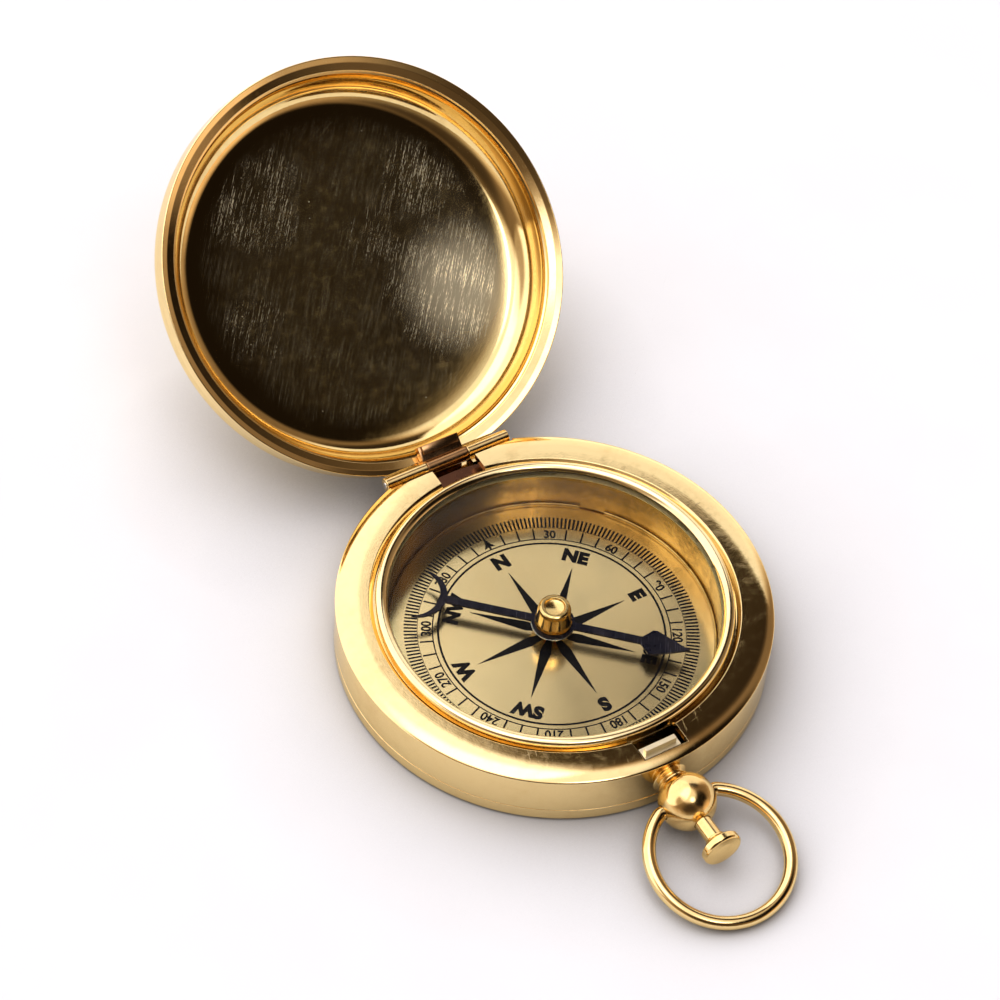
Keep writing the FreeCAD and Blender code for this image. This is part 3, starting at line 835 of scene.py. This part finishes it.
def dial_print():
    marks = [printed(ROSE_RAY, 45 * k) for k in range(8)]
    marks += [circle(11.66, 11.89), circle(12.29, 12.42)]
    marks += [tick(360 / 216 * k, 13.98, 15.32, width=0.21) for k in range(216)]
    marks.append(circle(13.90, 13.96))
    marks += [tick(7.5 * k, 12.36, 13.75, width=0.20) for k in range(48) if k % 4]
    for k in range(1, 12):
        marks.append(letters(str(30 * k), 90 - 30 * k, r=13.02, height=1.08,
                             squeeze=0.92, weight=0.03, spacing=1.0))
    for k, word in enumerate(("N", "NE", "E", "SE", "S", "SW", "W", "NW")):
        marks.append(letters(word, 90 - 45 * k, r=10.42, height=1.80 if len(word) == 1 else 1.70,
                             squeeze=1.0, weight=0.07, spacing=1.06))
    marks.append(printed(SPEARHEAD))
    place_piece(join("dial_print", marks), "case", "dial_brass", dial_ink)


# ================================================================ pivot and needle
def pivot():
    pin = lathe("pivot_pin_turned", [
        (0, BACK_TOP), (PIVOT_R, BACK_TOP), (PIVOT_R, 2.10, 0.05), (0.35, 2.30, 0.05),
        (0.35, 4.05, 0.1), (0, 4.70)], seg=64)
    place_piece(pin, "case", "bright_steel", bright_steel, "pivot_pin")
    collar = lathe("pivot_collar_turned", [
        (PIVOT_R, DIAL_TOP), (1.0, DIAL_TOP), (1.0, 1.65, 0.05), (0.85, 1.80, 0.08),
        (PIVOT_R, 1.80)], seg=96)
    place_piece(collar, "case", "brass_matte", brass_well, "pivot_collar")


def needle_outline():
    """Needle pointing along +X: arrow point, round hub and a crescent tail."""
    half_arm, half_head, hub_r = 0.45, 1.55, 2.25
    head_x, barb_x, neck_x = 10.75, 10.25, 9.3
    horn_x, horn_y = -14.25, 3.10
    joint = math.asin(half_arm / hub_r)
    sweep = math.pi - 2 * joint

    def hub(start):
        angles = [start + sweep * i / 40 for i in range(41)]
        return [(hub_r * math.cos(t), hub_r * math.sin(t)) for t in angles]

    outer = arc((horn_x, horn_y), (-11.25, 0), (horn_x, -horn_y), 60)
    inner = arc((horn_x, -horn_y), (-12.0, 0), (horn_x, horn_y), 40)
    upper = [p for p in outer if p[1] > half_arm]
    lower = [p for p in outer if p[1] < -half_arm]
    tail_x = max(p[0] for p in outer) - 0.02
    return [(14.35, 0.0), (head_x, half_head), (barb_x, half_head), (neck_x, half_arm),
            *hub(joint), (tail_x, half_arm), *upper[::-1], *inner[::-1][1:-1], *lower[::-1],
            (tail_x, -half_arm), *hub(math.pi + joint),
            (neck_x, -half_arm), (barb_x, -half_head), (head_x, -half_head)]


def needle():
    blade = prism("needle_blade", needle_outline(), NEEDLE_LOW, NEEDLE_TOP)
    cut(blade, rod(NEEDLE_BORE, 2.5, 4.0, seg=96))
    turn(blade, Matrix.Rotation(rad(NEEDLE_ANGLE), 4, "Z"))
    place_piece(blade, "pointer", "blued_steel", blued_steel, "needle")
    collar = lathe("needle_collar_turned", [
        (NEEDLE_BORE, 2.80), (2.15, 2.80, 0.05), (2.30, 2.92, 0.05), (2.30, NEEDLE_LOW, 0.03),
        (NEEDLE_BORE, NEEDLE_LOW)], seg=160)
    place_piece(collar, "pointer", "bright_steel", bright_steel, "needle_collar")
    cap = lathe("needle_cap_turned", [
        (0, 5.52), (0.75, 5.53), (0.98, 5.60, 0.1), (1.10, 5.82, 0.06), (1.40, 5.82, 0.10),
        (1.62, 5.68, 0.25), (1.72, 5.35, 0.6), (1.82, 3.75, 0.3), (1.95, 3.50, 0.08),
        (1.95, NEEDLE_TOP), (NEEDLE_BORE, NEEDLE_TOP), (NEEDLE_BORE, 2.80), (0.75, 2.80),
        (0.75, 4.95), (0, 4.95)], seg=160)
    place_piece(cap, "pointer", "brass_polished", brass_cap, "needle_cap")
    stone = lathe("needle_jewel_cut", [
        (0.50, 4.20), (0.75, 4.20, 0.03), (0.75, 4.95), (0.001, 4.95), (0.001, 4.73)], seg=96)
    place_piece(stone, "pointer", "jewel", jewel_look, "needle_jewel")


# ================================================================ hinge and lid
def hinge():
    for side, x0, x1 in (("left", -HINGE_END, -2.47), ("right", 2.47, HINGE_END)):
        knuckle = lathe(f"hinge_knuckle_{side}_rolled", [
            (HINGE_PIN_R, x0), (KNUCKLE_R, x0, 0.07), (KNUCKLE_R, x1, 0.07), (HINGE_PIN_R, x1)],
            seg=96, axis="X", origin=HINGE_AT)
        foot = block(x0 + 0.02, x1 - 0.02, 20.85, 22.25, 4.50, 5.45)
        boolean(foot, rod(22.49, 4.0, 7.0, seg=SEG), "INTERSECT")
        cut(foot, rod(0.42, x0 - 1, x1 + 1, axis="X", origin=HINGE_AT))
        fuse(knuckle, foot)
        place_piece(knuckle, "case", "brass_polished", brass_hinge, f"hinge_knuckle_{side}")
    pin = lathe("hinge_pin_drawn", [
        (0, -7.50), (HINGE_PIN_R, -7.50, 0.1), (HINGE_PIN_R, 7.50, 0.1), (0, 7.50)],
        seg=64, axis="X", origin=HINGE_AT)
    place_piece(pin, "case", "bright_steel", pin_steel, "hinge_pin")


# The lid pieces are drawn closed, then opened about the hinge.
def lid_rim():
    rim = lathe("lid_rim_turned", [
        (20.90, 7.12, 0.10), (21.75, 6.86, 0.6), (LID_R, 6.52, 0.10), (LID_R, LID_LOW),
        (LID_INNER_R, LID_LOW), (LID_INNER_R, 7.55), (20.90, 7.45, 0.04)])
    cut(rim, centered_block(7.55, 21.35, 23.0, 6.0, 7.40))
    turn(rim, LID_TURN)
    place_piece(rim, "lid", "brass_polished", brass_polished, "lid_rim")


def lid_shell():
    cove_width, cove_height, dish_rise, steps = 3.2, 3.7, 0.42, 24
    dish_low = LID_LOW + cove_height
    angles = [math.pi / 2 * i / steps for i in range(steps - 1)]
    cove = [(COVE_INNER_R + cove_width * math.cos(t), LID_LOW + cove_height * math.sin(t))
            for t in angles]
    dish = [(COVE_INNER_R * (1 - i / steps), dish_low + dish_rise * (1 - (1 - i / steps) ** 5))
            for i in range(1, steps)]
    dome = arc((0, 12.75), (9.8, 12.63), (19.4, 12.20), 20)
    side = arc((19.4, 12.20), (21.62, 11.05), (22.4, 9.0), 16)
    shell = lathe("lid_shell_spun", [(0, 12.12), *dish[::-1], *cove[::-1], (LID_R, LID_LOW),
                                     *side[::-1], *dome[::-1][1:]])
    turn(shell, LID_TURN)
    place_piece(shell, "lid", "brass_polished", brass_lid, "lid_shell")


def lid_tongue():
    half = 2.40
    tongue = lathe("lid_tongue_rolled", [
        (0.44, -half), (KNUCKLE_R, -half, 0.06), (KNUCKLE_R, half, 0.06), (0.44, half)],
        seg=96, axis="X", origin=HINGE_AT)
    tab = centered_block(half, 19.90, 22.05, 5.95, 6.86)
    fuse(tab, centered_block(half, 21.35, 22.20, 6.5, 7.40),
         centered_block(half - 0.3, 19.90, 20.80, 5.50, 6.2))
    cut(tab, rod(0.46, -half - 1, half + 1, axis="X", origin=HINGE_AT))
    add_bevel(tab, width=0.06, angle=35)
    apply_modifiers(tab)
    fuse(tongue, tab)
    turn(tongue, LID_TURN)
    place_piece(tongue, "lid", "brass_polished", brass_tongue, "lid_tongue")


# ================================================================ pendant, button, bow
# Turned about the stem axis, so the heights in these tables are y.
def pendant():
    front_r, steps = 1.45, 60
    y0 = BALL_Y - math.sqrt(BALL_R * BALL_R - BORE_R ** 2)
    y1 = BALL_Y + math.sqrt(BALL_R * BALL_R - front_r ** 2)
    t0, t1 = (math.asin((y - BALL_Y) / BALL_R) for y in (y0, y1))
    angles = [t0 + (t1 - t0) * i / steps for i in range(steps + 1)]
    sphere = [(BALL_R * math.cos(t), BALL_Y + BALL_R * math.sin(t)) for t in angles]
    ball = lathe("pendant_ball_turned", [(front_r, -27.20), (BORE_R, -27.20), *sphere],
                 seg=160, axis="Y", origin=STEM_AT)
    for x0, x1 in ((-4.7, -1.70), (1.70, 4.7)):
        cut(ball, rod(0.76, x0, x1, axis="X", origin=BALL_AT))
    place_piece(ball, "case", "brass_polished", brass_pendant, "pendant_ball")

    neck = lathe("pendant_neck_turned", [
        (BORE_R, -23.5), (1.75, -23.7), (1.75, -23.15, 0.12), (1.45, -22.95, 0.1),
        (1.45, -22.75, 0.1), (1.95, -22.45, 0.2), (1.95, -21.9), (BORE_R, -21.9)],
        seg=128, axis="Y", origin=STEM_AT)
    cut(neck, rod(CASE_R, 0, 8.0, seg=SEG))
    fuse(neck, lathe("tenon", [
        (BORE_R, -22.9), (1.15, -22.9), (1.15, -21.55, 0.05), (BORE_R, -21.55)],
        seg=96, axis="Y", origin=STEM_AT))
    place_piece(neck, "case", "brass_polished", brass_pendant, "pendant_neck")


def button():
    shaft = lathe("button_shaft_turned", [
        (0, -31.90), (SHAFT_R, -31.90), (SHAFT_R, -27.10, 0.04), (1.35, -27.10, 0.06),
        (1.35, -26.50, 0.06), (SHAFT_R, -26.50, 0.04), (SHAFT_R, -21.25, 0.15), (0, -21.25)],
        seg=96, axis="Y", origin=STEM_AT)
    place_piece(shaft, "button", "brass_polished", brass_pendant, "button_shaft")
    head = lathe("button_head_turned", [
        (0, -32.50), (0.6, -32.49), (1.20, -32.47, 0.3), (1.94, -32.36, 0.20),
        (2.08, -32.16, 0.12), (2.08, -31.58, 0.12), (1.85, -31.38, 0.15), (1.24, -31.10, 0.3),
        (1.12, -30.75, 0.08), (SHAFT_R, -30.75), (SHAFT_R, -31.90), (0, -31.90)],
        seg=128, axis="Y", origin=STEM_AT)
    place_piece(head, "button", "brass_polished", brass_pendant, "button_head")


def bow_path():
    """Centre line in the ring's own plane, from one end to the other."""
    bend_r, bend_x, ring_r = 0.90, 3.0, 7.12
    bend = math.asin(bend_x / (ring_r - bend_r))
    drop = ring_r * math.cos(bend) + bend_r * (1 - math.cos(bend))
    half = [(1.85, 0.0), (2.45, 0.0), (2.8, 0.0)]
    for i in range(9):
        t = bend * i / 8
        half.append((bend_x + bend_r * math.sin(t), -bend_r + bend_r * math.cos(t)))
    start = math.pi / 2 - bend
    for i in range(1, 91):
        t = start - (start + math.pi / 2) * i / 90
        half.append((ring_r * math.cos(t), -drop + ring_r * math.sin(t)))
    return half + [(-x, y) for x, y in half[::-1][1:]]


def bow():
    ring = tube("bow_ring_bent", bow_path(), WIRE_R)
    turn(ring, Matrix.Translation(Vector(BALL_AT) * MM) @ Matrix.Rotation(rad(BOW_TILT), 4, "X"))
    place_piece(ring, "bow", "brass_polished", brass_wire, "bow_ring")


def carried_over():
    """Springs and screws kept from the frame, with softened edges."""
    for name, look, slot in (("latch_spring", brass_latch, "brass_spring"),
                             ("lift_spring", spring_steel, "spring_steel"),
                             ("spring_screws", bright_steel, "bright_steel")):
        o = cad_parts[name]
        o.data.materials.clear()
        o.data.materials.append(look)
        add_bevel(o, width=0.05, angle=50)


for build in (back_cover, case_body, dial_well, bezel, crystal_and_seat, dial_print, pivot,
              needle, hinge, lid_rim, lid_shell, lid_tongue, pendant, button, bow,
              carried_over):
    build()


# ================================================================ floor
def floor_look():
    """Pale matte floor with a painted shadow: an occlusion term darkens it near the compass; a
    faint glow.
    """
    m = new_nodes("floor")
    cloud = m.noise(m.place, scale=60, detail=3)
    color = m.mix(m.ramp(cloud, start=0.3, end=0.7), (0.86, 0.875, 0.90), (0.88, 0.895, 0.92))
    # painted shadow: occlusion darkens the floor colour near the compass
    near, far = (m.node("AmbientOcclusion", {"Distance": reach * MM}, samples=8).outputs["AO"]
                 for reach in (16, 45))
    shade = m.mul(m.math("POWER", near, 0.60), m.math("POWER", far, 0.32))
    matte = m.diffuse(m.mix(shade, (0.0, 0.0, 0.0), color))
    glow = m.node("Emission", {"Color": (1, 1, 1), "Strength": 0.02}).outputs[0]
    return m.output(m.node("AddShader", {0: matte, 1: glow}).outputs[0])


def add_floor():
    half = 1.5                  # metres
    look = floor_look()
    mesh = bpy.data.meshes.new("floor")
    mesh.from_pydata([(-half, -half, 0), (half, -half, 0), (half, half, 0), (-half, half, 0)],
                     [], [(0, 1, 2, 3)])
    mesh.materials.append(look)
    link_object("floor", mesh)


# ================================================================ world light
# Azimuths run from +X towards +Y, elevations up from the floor, in degrees.
# Each round area: azimuth, elevation, inner and outer radius of its soft edge, strength.
OVERHEAD_BOX = (-135, 80, 22, 36, 1.15)
SMALL_BOX = (-92, 59, 4, 12, 3.0)
DARK_GAPS = ((-50, 41, 20, 36, 0.955), (-115, 18, 16, 38, 0.75), (38, 49, 8, 22, 0.85))
GAP_IN_BOXES = 0.0              # how far the dark gaps dim the softboxes
MAIN_BOX_STRENGTH, FAR_PANEL_STRENGTH = 1.62, 1.10


def add_world():
    """Warm dim room with large softboxes and dark gaps."""
    world = bpy.data.worlds.new("studio")
    bpy.context.scene.world = world
    w = Nodes(world)
    sight = w.sight

    def lobe(azimuth, elevation, inner, outer):
        az, el = rad(azimuth), rad(elevation)
        middle = (math.cos(az) * math.cos(el), math.sin(az) * math.cos(el), math.sin(el))
        return w.ramp(w.dot(sight, middle), math.cos(rad(outer)), math.cos(rad(inner)))

    z = w.split(sight, 2)
    # light low on the horizon, stronger towards -X +Y
    to_left = w.ramp(w.dot(sight, (-0.72, 0.69, 0.0)), start=-0.35, end=0.35)
    level = w.mul(w.ramp(z, start=0.0, end=0.32, low=1.0, high=0.0),
                  w.ramp(to_left, start=0.0, end=1.0, low=0.30, kind="LINEAR"), 0.62)
    main = w.mul(lobe(135, 45, inner=46.8, outer=50.6),
                 w.invert(w.mul(lobe(-163, 43, inner=14, outer=28), 0.8)))
    # low panel opposite the camera, under a sloping top edge
    under = w.ramp(w.dot(sight, (-0.168, -0.778, 0.605)), start=0.012, end=-0.012)
    beside = w.ramp(w.dot(sight, (-math.sin(rad(22)), math.cos(rad(22)), 0.0)),
                    start=-0.14, end=0.14)
    ahead = w.ramp(w.dot(sight, (math.cos(rad(50)), math.sin(rad(50)), 0.0)),
                   start=0.0, end=0.2)
    far_panel = w.mul(w.mul(under, beside), w.mul(ahead, w.invert(main)))
    boxes = [(main, MAIN_BOX_STRENGTH), (far_panel, FAR_PANEL_STRENGTH)]
    boxes += [(lobe(*area), strength) for *area, strength in (OVERHEAD_BOX, SMALL_BOX)]
    for mask, strength in boxes:
        level = w.add(level, w.mul(mask, strength))
    room = w.ramp(z, start=0.05, end=0.6, low=0.30, high=0.20)
    for *area, strength in DARK_GAPS:
        gap = lobe(*area)
        room = w.mul(room, w.invert(w.mul(gap, strength)))
        level = w.mul(level, w.invert(w.mul(gap, GAP_IN_BOXES)))
    room = w.add(room, w.mul(lobe(-46, 4, inner=6, outer=22), 0.55))
    # the room is warm; the softboxes go from warm where dim to neutral where bright
    warm = w.node("CombineColor", {0: w.mul(room, 1.15), 1: w.mul(room, 0.78),
                                   2: w.mul(room, 0.50)}).outputs[0]
    green = w.mul(level, w.ramp(level, start=0.1, end=1.05, low=0.82, high=0.99))
    blue = w.mul(level, w.ramp(level, start=0.1, end=1.05, low=0.62, high=1.04))
    lit = w.node("CombineColor", {0: level, 1: green, 2: blue}).outputs[0]
    color = w.vector_math("ADD", warm, lit)
    w.output(w.node("Background", {"Color": color, "Strength": 1.0}).outputs[0], "OutputWorld")


# ================================================================ camera
CAM_TURN, CAM_HEIGHT, CAM_ROLL = rad(-34.4), rad(50.1), rad(5.1)
CAM_DISTANCE = 350.0
CAM_LEFT, CAM_UP = 5.281065, 14.559172      # sideways shifts in the view plane
CAM_LENS = 121.68


def add_camera():
    back = Vector((math.sin(CAM_TURN) * math.cos(CAM_HEIGHT),
                   -math.cos(CAM_TURN) * math.cos(CAM_HEIGHT), math.sin(CAM_HEIGHT)))
    level_right = Vector((math.cos(CAM_TURN), math.sin(CAM_TURN), 0))
    level_up = back.cross(level_right)
    right = level_right * math.cos(CAM_ROLL) + level_up * math.sin(CAM_ROLL)
    up = level_up * math.cos(CAM_ROLL) - level_right * math.sin(CAM_ROLL)
    place = (back * CAM_DISTANCE - right * CAM_LEFT + up * CAM_UP) * MM
    data = bpy.data.cameras.new("camera")
    data.sensor_width, data.lens = 36.0, CAM_LENS
    data.clip_start, data.clip_end = 0.01, 20.0
    camera = bpy.data.objects.new("camera", data)
    rows = [(right[i], up[i], back[i], place[i]) for i in range(3)]
    camera.matrix_world = Matrix((*rows, (0, 0, 0, 1)))
    bpy.context.scene.collection.objects.link(camera)
    bpy.context.scene.camera = camera


add_floor()
add_world()
add_camera()
bpy.context.scene.view_settings.view_transform = "Standard"
bpy.context.scene.view_settings.look = "None"
